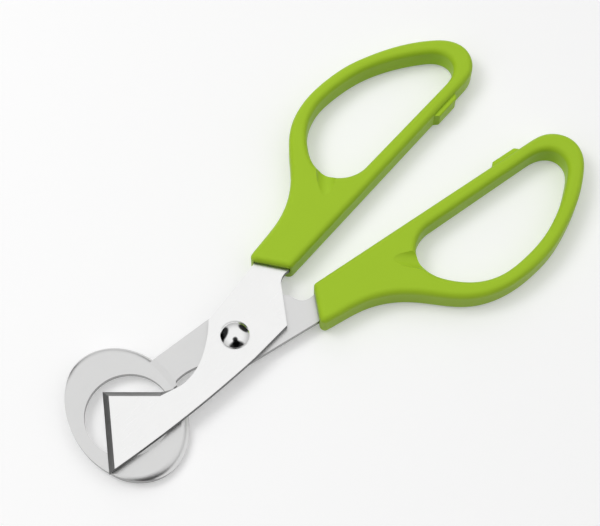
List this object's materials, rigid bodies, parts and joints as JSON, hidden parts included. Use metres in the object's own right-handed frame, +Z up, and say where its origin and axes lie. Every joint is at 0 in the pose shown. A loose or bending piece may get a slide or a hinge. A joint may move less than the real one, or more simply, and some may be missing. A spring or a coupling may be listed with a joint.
{
  "type": "egg topper",
  "caption": "Scissor egg topper: a bevelled blade slides over an oval cup plate with a round egg hole, worked by moulded loop handles.",
  "frame": {"origin": "middle of the egg hole in the cup plate, halfway through the sheet", "axes": "+X from the egg hole past the pivot towards the finger loops, +Z up along the pivot and out of the blade's side of the plate, +Y towards the blade's handle"},
  "size_m": [0.1457, 0.0753, 0.0072],
  "materials": {
    "blade_steel": "satin stainless sheet, finely ground bevels",
    "cup_steel": "satin stainless sheet, lightly polished",
    "green_plastic": "light green moulded plastic, soft gloss",
    "rivet_steel": "polished dome"
  },
  "bodies": {
    "ring_half": {"ring_arm": "cup_steel", "ring_handle": "green_plastic", "pivot_rivet": "rivet_steel"},
    "blade_half": {"blade_arm": "blade_steel", "blade_handle": "green_plastic"}
  },
  "joints": [
    {"name": "scissor_pivot", "type": "hinge", "parent": "ring_half", "child": "blade_half", "pos_m": [0.032, -0.00255, 0.00095], "axis": [0, 0, 1], "range_deg": [-13.2, 28]}
  ]
}
